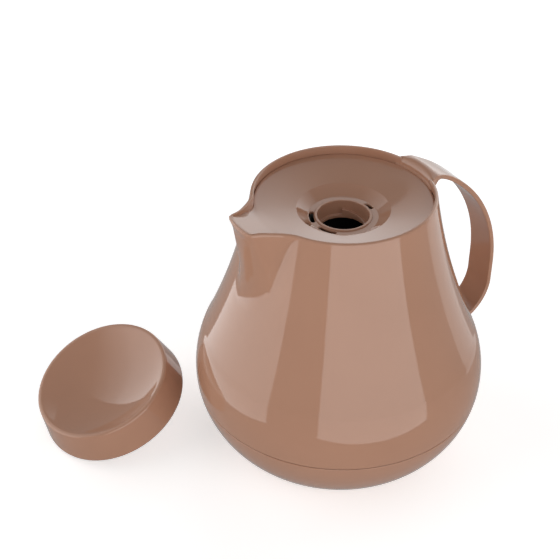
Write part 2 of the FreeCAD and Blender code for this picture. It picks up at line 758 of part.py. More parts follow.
def lid_seal():
    body = new_body("lid_seal")
    revolve(body, "dome", [
        ("0", "seal_tip"),
        ("seal_radius", "seal_edge"),
        ("seal_radius", "-boss_depth"),
        ("stud_radius", "-boss_depth"),
        ("stud_radius", "boss_floor"),
        ("stud_head", "boss_floor"),
        ("stud_radius", "boss_floor + stud_head_height"),
        ("0", "boss_floor + stud_head_height"),
    ], {0: "seal_dome_arc"})
    return body


def lid_lean():
    """Tilt at which the skirt's rounded edge and the domed seal both touch the floor."""
    ahead = amount("skirt_edge")
    below = amount("skirt_round - seal_dome_rise")
    drop = amount("seal_dome_arc - skirt_round")
    return math.asin(drop / math.hypot(ahead, below)) + math.atan2(below, ahead)


def lean_beside_pot(pieces):
    """Lean the lid on the floor, turned so that none of its hooks is near the floor."""
    tilt = lid_lean()
    hooks_apart = (180 - size.slot_side_angle) / 2
    azimuth = FreeCAD.Rotation(FreeCAD.Vector(0, 0, 1), size.lid_lean_azimuth)
    lean = FreeCAD.Rotation(FreeCAD.Vector(0, 1, 0), math.degrees(tilt))
    spin = FreeCAD.Rotation(FreeCAD.Vector(0, 0, 1), -hooks_apart)
    height = size.seal_dome_arc - size.seal_dome_rise * math.cos(tilt)
    place = FreeCAD.Vector(form.lid_ahead, size.lid_across, height)
    for piece in pieces:
        piece.Placement = FreeCAD.Placement(place, azimuth * lean * spin)


POT = [outer_body, base_cap, pouring_tray, inner_flask, outer_flask, flask_spacers, neck_gasket, base_cushion]
LID = [lid_shell, lid_plate, lid_seal]
pot_pieces = [make() for make in POT]
lid_pieces = [make() for make in LID]
lean_beside_pot(lid_pieces)
doc.recompute()

for item in doc.Objects:
    if "Invalid" in item.State or "Error" in item.State:
        raise RuntimeError("%s failed: %s" % (item.Name, item.State))
for piece in pot_pieces + lid_pieces:
    if piece.Shape.isNull() or not piece.Shape.isValid():
        raise RuntimeError("%s has no valid shape" % piece.Label)

os.makedirs("parts", exist_ok=True)
for piece in pot_pieces + lid_pieces:
    piece.Shape.exportStep("parts/%s.step" % piece.Label)
    solids = len(piece.Shape.Solids)
    print("%s: %d solids, %.0f cubic mm" % (piece.Label, solids, piece.Shape.Volume))
print("lid leans by %.2f degrees" % math.degrees(lid_lean()))
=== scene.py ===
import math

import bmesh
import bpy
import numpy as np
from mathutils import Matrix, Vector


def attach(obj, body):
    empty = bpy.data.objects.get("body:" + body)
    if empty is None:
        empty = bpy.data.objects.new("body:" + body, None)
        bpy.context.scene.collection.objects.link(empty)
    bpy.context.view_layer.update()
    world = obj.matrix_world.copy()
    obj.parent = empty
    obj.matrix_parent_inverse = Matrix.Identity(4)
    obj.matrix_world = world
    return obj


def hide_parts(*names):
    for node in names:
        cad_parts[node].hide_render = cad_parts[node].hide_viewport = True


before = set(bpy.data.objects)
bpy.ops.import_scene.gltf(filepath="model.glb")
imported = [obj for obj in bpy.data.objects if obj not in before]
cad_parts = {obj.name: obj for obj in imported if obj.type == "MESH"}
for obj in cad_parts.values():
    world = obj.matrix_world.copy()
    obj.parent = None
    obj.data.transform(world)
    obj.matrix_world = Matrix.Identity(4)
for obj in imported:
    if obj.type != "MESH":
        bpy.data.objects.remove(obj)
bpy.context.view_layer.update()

# %% [markdown]
# # An insulated teapot with its lid off
#
# The frame holds the solids of the pot and of its lid, in metres, with +Z up, the handle along +X
# and the beak along -X. The outer mouldings are polished plastic, and polish shows every facet, so
# this lesson makes them again as fine, smooth meshes of the same size. The hidden pieces, such as
# the glass flask, keep their solids and get a finish only. Outlines are drawn in millimetres.

MM = 0.001

# %% [markdown]
# ## Camera
#
# The pot is seen from above its beak side through a longish lens, so the rim is an open oval.
# The camera could track a target, but a fixed place and a fixed direction are easier to read.

# %% Camera
lens = bpy.data.cameras.new("camera")
lens.sensor_width = 36.0
lens.lens = 76.3
camera = bpy.data.objects.new("camera", lens)
camera.location = (-0.2926, -0.4235, 0.4800)
looking = Vector((0.4144, 0.6897, -0.5938))
camera.rotation_euler = looking.to_track_quat("-Z", "Y").to_euler()
bpy.context.scene.collection.objects.link(camera)
bpy.context.scene.camera = camera
print("camera looks along", [round(c, 3) for c in looking])

# %% [markdown]
# ## Polished plastic
#
# The mouldings are dusty rose-brown plastic with a polished skin. A real moulding is never one flat
# colour: the pigment swirls a little, and the skin has a faint waviness that softens reflections.
# Two noises do this, a wide one for the tint and the polish, a fine one for the skin.

# %% Polished plastic
def new_finish(name):
    finish = bpy.data.materials.new(name)
    finish.use_nodes = True
    tree = finish.node_tree
    return finish, tree, tree.nodes["Principled BSDF"]


def add_noise(tree, scale, detail=2.0):
    """A noise over the piece, in its own metres."""
    place = tree.nodes.new("ShaderNodeTexCoord")
    noise = tree.nodes.new("ShaderNodeTexNoise")
    noise.inputs["Scale"].default_value = scale
    noise.inputs["Detail"].default_value = detail
    tree.links.new(place.outputs["Object"], noise.inputs["Vector"])
    return noise.outputs["Fac"]


def add_tint(tree, fac, dark, light):
    """A noise as a colour between two stops, each a place on the ramp and a colour."""
    ramp = tree.nodes.new("ShaderNodeValToRGB")
    for element, (position, colour) in zip(ramp.color_ramp.elements, (dark, light)):
        element.position = position
        element.color = (*colour, 1.0)
    tree.links.new(fac, ramp.inputs["Fac"])
    return ramp.outputs["Color"]


def add_range(tree, fac, low, high):
    """A noise spread over a range of numbers."""
    spread = tree.nodes.new("ShaderNodeMapRange")
    spread.inputs["From Min"].default_value = 0.3
    spread.inputs["From Max"].default_value = 0.7
    spread.inputs["To Min"].default_value = low
    spread.inputs["To Max"].default_value = high
    tree.links.new(fac, spread.inputs["Value"])
    return spread.outputs["Result"]


def add_bump(tree, shader, fac, strength, depth):
    """A noise as a faint relief of the surface."""
    bump = tree.nodes.new("ShaderNodeBump")
    bump.inputs["Strength"].default_value = strength
    bump.inputs["Distance"].default_value = depth
    tree.links.new(fac, bump.inputs["Height"])
    tree.links.new(bump.outputs["Normal"], shader.inputs["Normal"])


def polished_plastic():
    finish, tree, shader = new_finish("polished_plastic")
    swirl = add_noise(tree, 22.0, 3.0)
    tint = add_tint(tree, swirl, (0.35, (0.430, 0.227, 0.147)), (0.65, (0.446, 0.237, 0.154)))
    tree.links.new(tint, shader.inputs["Base Color"])
    tree.links.new(add_range(tree, swirl, 0.05, 0.07), shader.inputs["Roughness"])
    add_bump(tree, shader, add_noise(tree, 260.0), 0.05, 0.0002)
    shader.inputs["IOR"].default_value = 1.49
    return finish


plastic = polished_plastic()
print("made the finish", plastic.name)

# %% [markdown]
# ## Glass, rubber and board
#
# Inside, the flask is glass silvered on the faces towards the vacuum. From outside only its mouth is seen,
# deep in the neck, so it gets one half metallic finish in a near-black colour: the mirror's reflection is
# its own, and the darkness is painted shade of the deep neck. Clear glass over a mirror would need a
# second wall. The seals are satin silicone, and the pads between the glass walls are board. The lid's
# plate is plastic as the lid is.

# %% Glass, rubber and board
def shade_darkened_silvered_glass():
    finish, tree, shader = new_finish("shade_darkened_silvered_glass")
    streak = add_noise(tree, 30.0, 2.0)
    # Near-black colour: painted shade of the deep neck, not the silvering's own colour; the half metallic
    # reflection is real
    tint = add_tint(tree, streak, (0.3, (0.030, 0.029, 0.028)), (0.7, (0.042, 0.041, 0.040)))
    tree.links.new(tint, shader.inputs["Base Color"])
    tree.links.new(add_range(tree, streak, 0.08, 0.14), shader.inputs["Roughness"])
    shader.inputs["Metallic"].default_value = 0.6
    shader.inputs["IOR"].default_value = 1.52
    return finish


def satin_silicone():
    finish, tree, shader = new_finish("satin_silicone")
    bloom = add_noise(tree, 90.0, 4.0)
    tint = add_tint(tree, bloom, (0.3, (0.36, 0.34, 0.31)), (0.7, (0.42, 0.40, 0.37)))
    tree.links.new(tint, shader.inputs["Base Color"])
    tree.links.new(add_range(tree, bloom, 0.42, 0.55), shader.inputs["Roughness"])
    add_bump(tree, shader, add_noise(tree, 1500.0), 0.15, 0.0001)
    return finish


def mineral_board():
    finish, tree, shader = new_finish("mineral_board")
    fibre = add_noise(tree, 700.0, 6.0)
    tint = add_tint(tree, fibre, (0.3, (0.30, 0.27, 0.23)), (0.7, (0.46, 0.43, 0.38)))
    tree.links.new(tint, shader.inputs["Base Color"])
    tree.links.new(add_range(tree, fibre, 0.75, 0.95), shader.inputs["Roughness"])
    add_bump(tree, shader, fibre, 0.5, 0.0003)
    return finish


glass = shade_darkened_silvered_glass()
silicone = satin_silicone()
board = mineral_board()
INNER_FINISHES = {"inner_flask": glass, "outer_flask": glass, "flask_spacers": board, "lid_plate": plastic}
for node, finish in INNER_FINISHES.items():
    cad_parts[node].data.materials.clear()
    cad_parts[node].data.materials.append(finish)
print("finished the solids of", ", ".join(INNER_FINISHES))

# %% [markdown]
# ## Outlines with soft corners
#
# Moulded edges are never sharp. A bevel could round them after a piece is made, but a turned piece
# is rounded more simply in its outline: it is drawn as corners in millimetres, each with a radius,
# and every corner becomes a small arc. Points close to both ends of an arc keep the shading of the
# flats next to it flat.

# %% Outlines with soft corners
# Distance from the ends of a straight stretch to the points close to them
CLOSE = 0.15


def turning(angle):
    """A matrix that turns (x, y) points by an angle."""
    return np.array([[math.cos(angle), -math.sin(angle)], [math.sin(angle), math.cos(angle)]])


def on_circle(centre, radius, angles):
    """Points on a circle, in the given directions."""
    return [(centre[0] + radius * math.cos(a), centre[1] + radius * math.sin(a)) for a in angles]


def arc_points(centre, radius, start, end, count):
    """Points on an arc, with angles in degrees, left out at its start."""
    return on_circle(centre, radius, np.radians(np.linspace(start, end, count + 1))[1:])


def soften(corners, step=2.5, bend=math.radians(9)):
    """Points along an open outline of (x, z, radius) corners, with arcs at the corners."""
    line = [np.array(corner[:2], float) for corner in corners]
    points = [line[0]]

    def run_to(end):
        """Points on a straight stretch, one of them close to each of its ends."""
        start = points[-1]
        reach = np.linalg.norm(end - start)
        count = max(1, math.ceil(reach / step))
        close = min(CLOSE, reach / 4) / max(reach, 1e-9)
        shares = {close, 1 - close, *(i / count for i in range(1, count))}
        points.extend(start + (end - start) * share for share in sorted(shares))
        points.append(end)

    for i in range(1, len(line) - 1):
        radius = corners[i][2]
        back = line[i - 1] - line[i]
        ahead = line[i + 1] - line[i]
        back_unit = back / np.linalg.norm(back)
        ahead_unit = ahead / np.linalg.norm(ahead)
        inside = math.acos(np.clip(back_unit @ ahead_unit, -1, 1))
        if radius <= 0 or math.pi - inside < 1e-3:
            run_to(line[i])
            continue
        trim = radius / math.tan(inside / 2)
        centre_way = back_unit + ahead_unit
        centre = line[i] + centre_way / np.linalg.norm(centre_way) * radius / math.sin(inside / 2)
        run_to(line[i] + back_unit * trim)
        first = points[-1] - centre
        last = line[i] + ahead_unit * trim - centre
        sweep = math.atan2(first[0] * last[1] - first[1] * last[0], first @ last)
        count = max(3, math.ceil(abs(sweep) / bend))
        for k in range(1, count + 1):
            points.append(centre + turning(sweep * k / count) @ first)
    run_to(line[-1])
    return np.array(points)


print("a soft corner gets", len(soften([(0, 0, 0), (10, 0, 2), (10, 10, 0)])), "points")

# %% [markdown]
# ## A lathe in Geometry Nodes
#
# The base, the lid and the seals are surfaces of revolution. A screw modifier could turn them, but a
# node tree says the rule itself: a grid has one row for each point of the outline and one column
# for each step of the turn, and each grid point takes its distance and height from its row.

# %% A lathe in Geometry Nodes
def lathe_tree():
    tree = bpy.data.node_groups.new("turned_piece", "GeometryNodeTree")
    tree.interface.new_socket("Outline", in_out="INPUT", socket_type="NodeSocketGeometry")
    steps = tree.interface.new_socket("Steps", in_out="INPUT", socket_type="NodeSocketInt")
    finish = tree.interface.new_socket("Finish", in_out="INPUT", socket_type="NodeSocketMaterial")
    tree.interface.new_socket("Turned", in_out="OUTPUT", socket_type="NodeSocketGeometry")
    add = tree.nodes.new
    link = tree.links.new
    given = add("NodeGroupInput")
    made = add("NodeGroupOutput")

    def maths(operation, first, second):
        node = add("ShaderNodeMath")
        node.operation = operation
        for socket, value in zip(node.inputs, (first, second)):
            if isinstance(value, (int, float)):
                socket.default_value = value
            elif value is not None:
                link(value, socket)
        return node.outputs[0]

    size = add("GeometryNodeAttributeDomainSize")
    link(given.outputs["Outline"], size.inputs[0])
    columns = maths("ADD", given.outputs["Steps"], 1)
    grid = add("GeometryNodeMeshGrid")
    link(size.outputs["Point Count"], grid.inputs["Vertices X"])
    link(columns, grid.inputs["Vertices Y"])
    number = add("GeometryNodeInputIndex").outputs[0]
    row = maths("FLOOR", maths("DIVIDE", maths("ADD", number, 0.5), columns), None)
    column = maths("SUBTRACT", number, maths("MULTIPLY", row, columns))
    angle = maths("DIVIDE", maths("MULTIPLY", column, 2 * math.pi), given.outputs["Steps"])
    place = add("GeometryNodeInputPosition").outputs[0]
    sample = add("GeometryNodeSampleIndex")
    sample.data_type = "FLOAT_VECTOR"
    sample.domain = "POINT"
    link(given.outputs["Outline"], sample.inputs["Geometry"])
    link(place, sample.inputs["Value"])
    link(row, sample.inputs["Index"])
    split = add("ShaderNodeSeparateXYZ")
    link(sample.outputs[0], split.inputs[0])
    spot = add("ShaderNodeCombineXYZ")
    link(maths("MULTIPLY", split.outputs["X"], maths("COSINE", angle, None)), spot.inputs["X"])
    link(maths("MULTIPLY", split.outputs["X"], maths("SINE", angle, None)), spot.inputs["Y"])
    link(split.outputs["Z"], spot.inputs["Z"])
    turned = add("GeometryNodeSetPosition")
    link(grid.outputs["Mesh"], turned.inputs["Geometry"])
    link(spot.outputs[0], turned.inputs["Position"])
    welded = add("GeometryNodeMergeByDistance")
    link(turned.outputs[0], welded.inputs["Geometry"])
    welded.inputs["Distance"].default_value = 1e-6
    realized = add("GeometryNodeRealizeInstances")
    link(welded.outputs[0], realized.inputs[0])
    painted = add("GeometryNodeSetMaterial")
    link(realized.outputs[0], painted.inputs["Geometry"])
    link(given.outputs["Finish"], painted.inputs["Material"])
    link(painted.outputs[0], made.inputs[0])
    return tree, steps.identifier, finish.identifier


LATHE, STEPS_INPUT, FINISH_INPUT = lathe_tree()
print("the lathe's tree has", len(LATHE.nodes), "nodes")

# %% [markdown]
# ## From outline to piece
#
# A turned piece is kept as a plain mesh, with its points welded where the turn closes and its faces
# outwards. The modifier could stay on the piece, but a plain mesh can be laid down later by moving its
# points. Each finished piece then takes the place of its solid and moves with its body.

# %% From outline to piece
def outward(mesh):
    """Weld, turn the faces outwards and shade smooth."""
    form = bmesh.new()
    form.from_mesh(mesh)
    bmesh.ops.remove_doubles(form, verts=form.verts, dist=1e-6)
    bmesh.ops.recalc_face_normals(form, faces=form.faces)
    form.to_mesh(mesh)
    form.free()
    mesh.polygons.foreach_set("use_smooth", [True] * len(mesh.polygons))
    mesh.update()


def show(name, mesh):
    piece = bpy.data.objects.new(name, mesh)
    bpy.context.scene.collection.objects.link(piece)
    return piece


def turn(name, outline, finish, steps):
    """A turned piece from an outline in millimetres, as a plain mesh in metres."""
    mesh = bpy.data.meshes.new(name + "_outline")
    mesh.from_pydata([(x * MM, 0.0, z * MM) for x, z in outline], [], [])
    blank = show(name + "_blank", mesh)
    lathe = blank.modifiers.new("lathe", "NODES")
    lathe.node_group = LATHE
    lathe[STEPS_INPUT] = steps
    lathe[FINISH_INPUT] = finish
    ready = blank.evaluated_get(bpy.context.evaluated_depsgraph_get())
    result = bpy.data.meshes.new_from_object(ready)
    bpy.data.objects.remove(blank)
    outward(result)
    result.name = name
    print("turned", name, "with", len(result.polygons), "faces")
    return show(name, result)


def settle(piece, body, slot_name, *nodes):
    """Let a piece stand for its solids and move with its body."""
    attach(piece, body)
    if nodes:
        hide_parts(*nodes)
    return piece


LARGE_TURN = 256
SMALL_TURN = 128
print("large pieces are turned in", LARGE_TURN, "steps, small ones in", SMALL_TURN)

# %% [markdown]
# ## Base
#
# The pot stands on a shallow bowl that closes the body from below. Its side is one arc from the foot
# ring up to the seam, and a spigot above it reaches into the body. Its top edge and the body's lower
# edge are both rounded, and the shadow between them is the thin dark seam line.

# %% Base
# Heights of the belly and of the seam, which the body shares
BELLY_HEIGHT = 45.5
SEAM = 37.8
# Arc of the bowl's side, from just above the foot ring up to the seam
FOOT_ARC = 54.8
FOOT_CENTRE = (25.2, BELLY_HEIGHT)
BOWL_LOW = 1.6
BOWL_TOP = SEAM - 0.4
BOWL_SHOULDER = SEAM - 0.3
# Recess under the foot, the bowl's floor, and the spigot that reaches into the body
RECESS = 2.5
BOWL_FLOOR = 4.9
SPIGOT_OUT = 76.0
SPIGOT_IN = 73.8
SPIGOT_TOP = SEAM + 9.0


def foot_angle(z):
    """Direction from the centre of the foot's arc to a height on it, in degrees."""
    return math.degrees(math.asin((z - BELLY_HEIGHT) / FOOT_ARC))


bowl_side = arc_points(FOOT_CENTRE, FOOT_ARC, foot_angle(BOWL_LOW), foot_angle(BOWL_TOP), 40)
bowl_foot = soften([
    (0.0, RECESS, 0.0), (49.4, RECESS, 0.5), (50.7, 0.0, 0.5), (55.2, 0.0, 1.4), (57.9, 1.75, 0.0),
])
bowl_inside = soften([
    (bowl_side[-1][0] - 0.1, BOWL_SHOULDER, 0.0), (SPIGOT_OUT, BOWL_SHOULDER, 0.0),
    (SPIGOT_OUT, SPIGOT_TOP, 0.0), (SPIGOT_IN, SPIGOT_TOP, 0.0), (SPIGOT_IN, SEAM - 2.0, 0.0),
    (54.0, BOWL_FLOOR, 0.0), (0.0, BOWL_FLOOR, 0.0),
])
bowl_outline = np.vstack([bowl_foot, bowl_side, bowl_inside])
base_bowl = turn("base_bowl", bowl_outline, plastic, LARGE_TURN)
settle(base_bowl, "pot", "moulding", "base_cap")

# %% [markdown]
# ## Body
#
# The body is a pear shape with a short beak drawn out of its rim. It could be cut and joined from
# solids, but then the crease between beak and flank would be hard. Here each upright line of the
# mesh asks two rules how far out it lies at a height, one for the pear and one for the beak, and a
# soft maximum of the two rounds the crease.
#
# The pear is two arcs that meet above the belly. The beak is a plan that changes from the lip, which
# is broad with small corners, to the toe, which is round and lies further in. Lip and toe are each
# given as a reach and a corner radius, and hollow throats lead from the corners back to the rim.

# %% The pear's and the beak's rules
# The rim, and the pear's two arcs, which meet above the belly
RIM = 157.0
RIM_RADIUS = 48.0
BELLY_OUT = 18.8
BELLY_ARC = 61.2
FLANK_OUT = 403.41
FLANK_HEIGHT = 219.1
FLANK_ARC = 361.0
MEETING = 70.7
# Lip and toe of the beak, each a reach and a corner radius, and the toe's depth below the rim
LIP = (63.2, 2.8)
TOE = (57.0, 15.0)
BEAK_DROP = 47.0
# Hollow throats beside the beak, with the direction and the distance of their centres
THROAT_WAY = math.radians(32)
THROAT_FAR = 79.0
THROAT_ARC = 31.0
THROAT = (THROAT_FAR * math.cos(THROAT_WAY), THROAT_FAR * math.sin(THROAT_WAY))
# The nose, bowed in plan, where the lip curls out above a slight tuck
NOSE_FROM = 50.0
NOSE_RUN = 12.0
NOSE_BOW = 80.0
LIP_OUT = 0.25
LIP_TUCK = 1.25
LIP_DEPTH = 7.0
# How the beak falls away to its sides lower down, and beyond its throats
KEEL_DROP = 4.0
KEEL_WAY = 0.3
FADE_DROP = 30.0
FADE_WAY = math.radians(25)
# Width of the rounded crease beside the beak, and the depth at which it is fully open
CREASE = 6.0
CREASE_DEPTH = 30.0


def ease(share):
    """A soft step from 0 to 1."""
    share = np.clip(share, 0, 1)
    return share * share * (3 - 2 * share)


def pear_radius(z):
    """The pear's radius at a height, from the belly's arc or from the hollow flank above it."""
    z = np.asarray(z, float)
    low = BELLY_OUT + np.sqrt(np.maximum(BELLY_ARC ** 2 - (z - BELLY_HEIGHT) ** 2, 0))
    high = FLANK_OUT - np.sqrt(FLANK_ARC ** 2 - (z - FLANK_HEIGHT) ** 2)
    return np.where(z < MEETING, low, high)


def at_nose(out):
    """0 at the beak's root and 1 at its nose."""
    return ease((out - NOSE_FROM) / NOSE_RUN)


def beak_half(inset, reach, corner):
    """Half of the beak's outline in plan, from the middle of its nose back to the rim's circle."""
    side = reach - corner
    bend = corner - inset
    throat = THROAT_ARC + inset
    middle = THROAT[1] - math.sqrt((throat + bend) ** 2 - (THROAT[0] - side) ** 2)
    touch = math.atan2(THROAT[1] - middle, THROAT[0] - side)
    nose = [(reach - inset, across) for across in np.linspace(0, middle, 14)[:-1]]
    round_corner = on_circle((side, middle), bend, np.linspace(0, touch, 49)[:-1])
    flank = on_circle(THROAT, throat, np.linspace(touch - math.pi, THROAT_WAY - math.pi, 97))
    outline = np.array(nose + round_corner + flank)
    outline[:, 0] -= at_nose(outline[:, 0]) * outline[:, 1] ** 2 / NOSE_BOW
    return outline


def beak_radius(angles, depth, inset=0.0):
    """How far out the beak lies in each direction from its middle, a depth below the rim."""
    share = depth / BEAK_DROP
    plan = (1 - share) * beak_half(inset, *LIP) + share * beak_half(inset, *TOE)
    plan[:, 0] += at_nose(plan[:, 0]) * (LIP_OUT - LIP_TUCK * ease(depth / LIP_DEPTH))
    ways = np.arctan2(plan[:, 1], plan[:, 0])
    out = np.interp(np.abs(angles), ways, np.hypot(plan[:, 0], plan[:, 1]))
    past = np.clip((np.abs(angles) - ways[-1]) / FADE_WAY, 0, 1)
    return out - FADE_DROP * past * past - KEEL_DROP * share * (angles / KEEL_WAY) ** 2


def soft_max(one, other, width):
    """The larger of two, with the step between them rounded over a width."""
    width = np.maximum(width, 1e-6)
    near = np.maximum(width - np.abs(one - other), 0) / width
    return np.maximum(one, other) + near * near * width / 4


def skin(angles, z, inset=0.0):
    """The body's radius at a height, moved in by a wall."""
    depth = RIM - z
    pear = pear_radius(z) - inset
    crease = CREASE * min(max(depth, 0) / CREASE_DEPTH, 1)
    return soft_max(pear, beak_radius(angles, depth, inset), crease)


lip = beak_half(0.0, *LIP)
print("the beak's lip reaches", lip[0][0], "mm and is drawn with", len(lip), "points on each side")

# %% [markdown]
# ### The body's mesh
#
# The wall is drawn as rings, from the seam up the outside, over the rounded rim and down the inside.
# A remeshed solid would spread its points evenly. Rings can have them close together where polish
# shows it: the upright lines crowd at the corners of the beak, and the rings crowd below the rim.
# Two small rules change the rim: it rises a little at the lip, and it dips out of sight where the
# handle's strap rolls over it.

# %% The body's mesh
# Walls, and the roundings of the rim and of the seam's edge
RIM_WALL = 2.0
BODY_WALL = 2.4
THICKENS = 10.0
ROUND_OUT = 1.4
ROUND_IN = 0.6
SEAM_GAP = 0.3
SEAM_ROUND = 0.15
# Smallest step between two upright lines
CLOSEST = math.radians(0.18)
# Dip of the rim below the strap's root: its depth, half its width, and where it starts
DIP = 5.5
DIP_HALF = 14.0
DIP_EDGE = 5.0
DIP_FROM = 140.0
DIP_RUN = 15.0
# Rise of the rim at the lip: its height, and where it starts outwards and upwards
LIP_RISE = 0.45
RISE_OUT = 52.0
RISE_OUT_RUN = 10.0
RISE_FROM = 148.0
RISE_RUN = 8.0
# Heights of the rings, each as first, last and number
BELLY_ROWS = (SEAM + 1.2, 76.0, 22)
BEAK_ROWS = (78.0, 141.0, 44)
RIM_ROWS = (142.0, RIM - ROUND_OUT - 0.3, 32)
INNER_RIM_ROWS = (RIM - 1.5, 140.0, 12)
INNER_ROWS = (130.0, SEAM + SEAM_GAP, 20)


def directions():
    """Directions of the upright lines, measured from the beak, close together at its corners."""
    lips = [beak_half(inset, *LIP) for inset in (0.0, RIM_WALL)]
    ways = [np.arctan2(plan[:, 1], plan[:, 0]) for plan in lips]
    ways.append(np.radians(np.arange(31, 180, 1.5)))
    ways.append(np.radians(np.arange(1, 31, 1.0)))
    ways.append(np.radians(np.arange(4, 16, 0.25)))
    kept = [0.0]
    for way in np.sort(np.concatenate(ways)):
        if way - kept[-1] > CLOSEST:
            kept.append(way)
    half = np.array(kept[1:])
    return np.concatenate([-half[::-1], [0.0], half, [math.pi]])


def ring_mesh(name, rows, finish, closed=True):
    """A mesh from rings of points, all with the same number of points."""
    rows = [np.asarray(row, float) for row in rows]
    count = len(rows[0])
    faces = []
    for i in range(len(rows) if closed else len(rows) - 1):
        here = i * count
        there = (i + 1) % len(rows) * count
        for j in range(count):
            k = (j + 1) % count
            faces.append((here + j, here + k, there + k, there + j))
    mesh = bpy.data.meshes.new(name)
    mesh.from_pydata((np.vstack(rows) * MM).tolist(), [], faces)
    mesh.materials.append(finish)
    outward(mesh)
    return mesh


def ring(radius, z):
    """Points round the pot, with direction 0 at the beak."""
    radius = np.broadcast_to(radius, AROUND.shape)
    z = np.broadcast_to(z, AROUND.shape)
    return np.column_stack([-radius * np.cos(AROUND), -radius * np.sin(AROUND), z])


def sink(z):
    """How far the rim dips to let the strap's root roll over it."""
    across = RIM_RADIUS * np.abs(np.sin(AROUND))
    under_root = ease((DIP_HALF - across) / DIP_EDGE) * (np.cos(AROUND) < 0)
    return DIP * under_root * ease((z - DIP_FROM) / DIP_RUN)


def lift(z):
    """How far the beak's lip rises above the rim."""
    out = skin(AROUND, RIM - ROUND_OUT) * np.cos(AROUND)
    return LIP_RISE * ease((out - RISE_OUT) / RISE_OUT_RUN) * ease((z - RISE_FROM) / RISE_RUN)


def body_ring(z, radius):
    """A ring of the body, raised at the beak and lowered where the strap grows out of the rim."""
    down = sink(z)
    return ring(radius + pear_radius(z - down) - pear_radius(z), z - down + lift(z))


AROUND = directions()
body_rows = []
for a in np.radians([90, 60, 30, 0]):
    out = skin(AROUND, SEAM + SEAM_GAP + SEAM_ROUND) - SEAM_ROUND * (1 - math.cos(a))
    body_rows.append(ring(out, SEAM + SEAM_GAP + SEAM_ROUND * (1 - math.sin(a))))
for z in np.concatenate([np.linspace(*rows) for rows in (BELLY_ROWS, BEAK_ROWS, RIM_ROWS)]):
    body_rows.append(body_ring(z, skin(AROUND, z)))
for a in np.radians(np.linspace(0, 90, 8)):
    out = skin(AROUND, RIM - ROUND_OUT, ROUND_OUT * (1 - math.cos(a)))
    body_rows.append(body_ring(RIM - ROUND_OUT * (1 - math.sin(a)), out))
for a in np.radians(np.linspace(90, 0, 8)):
    out = skin(AROUND, RIM - ROUND_OUT, RIM_WALL - ROUND_IN * (1 - math.cos(a)))
    body_rows.append(body_ring(RIM - ROUND_IN * (1 - math.sin(a)), out))
for z in np.linspace(*INNER_RIM_ROWS):
    thicker = (BODY_WALL - RIM_WALL) * np.clip((RIM - z) / THICKENS, 0, 1)
    body_rows.append(body_ring(z, skin(AROUND, z, RIM_WALL) - thicker))
for z in np.linspace(*INNER_ROWS):
    body_rows.append(ring(skin(AROUND, z, BODY_WALL), z))
body_mesh = ring_mesh("body_shell", body_rows, plastic)
print("the body has", len(AROUND), "upright lines and", len(body_mesh.polygons), "faces")

# %% [markdown]
# ## Strap handle
#
# The handle is a thin strap that grows out of the rim, leans out in one long arc and tucks into the
# belly. It could be a curve with a bevel, but its width flares at the root. So its cross-section,
# a flat strip with rounded edges, is placed step by step along a path in the side view. At the root
# the strip bows to follow the rim's circle, and its sides droop into the rim.

# %% Strap handle
# Cross-section of the strap, its half width, and how that flares at the root
STRAP = 2.6
STRIP_CORNER = 0.6
STRAP_HALF = 9.2
ROOT_FLARE = 6.6
FLARE_FROM = 66.0
FLARE_RUN = 19.85
# Bow and droop of the strip at the root
BOW_FROM = 64.0
BOW_RUN = 16.0
BOW_RADIUS = 47.0
DROOP_FROM = 6.0
DROOP_RUN = 8.0
# Path in the side view: the long arc, the tuck into the belly, the roll over the rim
REACH = 99.8
ARC = 82.97
ARC_CENTRE = np.array([REACH - ARC, 82.0])
TUCK = 26.0
TUCK_CENTRE = np.array([REACH - TUCK, 70.0])
TUCK_END = -0.98 * math.pi / 2
ROLL = 4.2
INNER_FACE = 46.1
FILLET = 4.2
LEAVE_OUT = 56.0
ROOT_LOW = 147.0
UPPER_HALF = 120.0


def aim(angle):
    return np.array([math.cos(angle), math.sin(angle)])


def strap_path():
    """Matching points along the strap's upper and lower faces, from the rim to the belly."""
    run = INNER_FACE + ROLL - ARC_CENTRE[0]
    roll_height = ARC_CENTRE[1] + math.sqrt((ARC - ROLL) ** 2 - run ** 2)
    roll_centre = np.array([INNER_FACE + ROLL, roll_height])
    meet = math.atan2(roll_height - ARC_CENTRE[1], run)
    leave = math.acos((LEAVE_OUT - ARC_CENTRE[0]) / ARC)
    upper = [np.array([INNER_FACE, z]) for z in np.linspace(ROOT_LOW, roll_height, 6)[:-1]]
    upper += [roll_centre + ROLL * aim(a) for a in np.linspace(math.pi, meet, 14)[:-1]]
    upper += [ARC_CENTRE + ARC * aim(a) for a in np.linspace(meet, leave, 7)]
    fillet_centre = ARC_CENTRE + (ARC - STRAP - FILLET) * aim(leave)
    outer_face = fillet_centre[0] - FILLET
    lower = [np.array([outer_face, z]) for z in np.linspace(ROOT_LOW, fillet_centre[1], 6)[:-1]]
    left = len(upper) - len(lower)
    lower += [fillet_centre + FILLET * aim(a) for a in np.linspace(math.pi, leave, left)]
    for a in np.linspace(leave, 0, 60)[1:]:
        upper.append(ARC_CENTRE + ARC * aim(a))
        lower.append(ARC_CENTRE + (ARC - STRAP) * aim(a))
    for z in np.linspace(ARC_CENTRE[1], TUCK_CENTRE[1], 6)[1:-1]:
        upper.append(np.array([REACH, z]))
        lower.append(np.array([REACH - STRAP, z]))
    for a in np.linspace(0, TUCK_END, 30):
        upper.append(TUCK_CENTRE + TUCK * aim(a))
        lower.append(TUCK_CENTRE + (TUCK - STRAP) * aim(a))
    return list(zip(upper, lower))


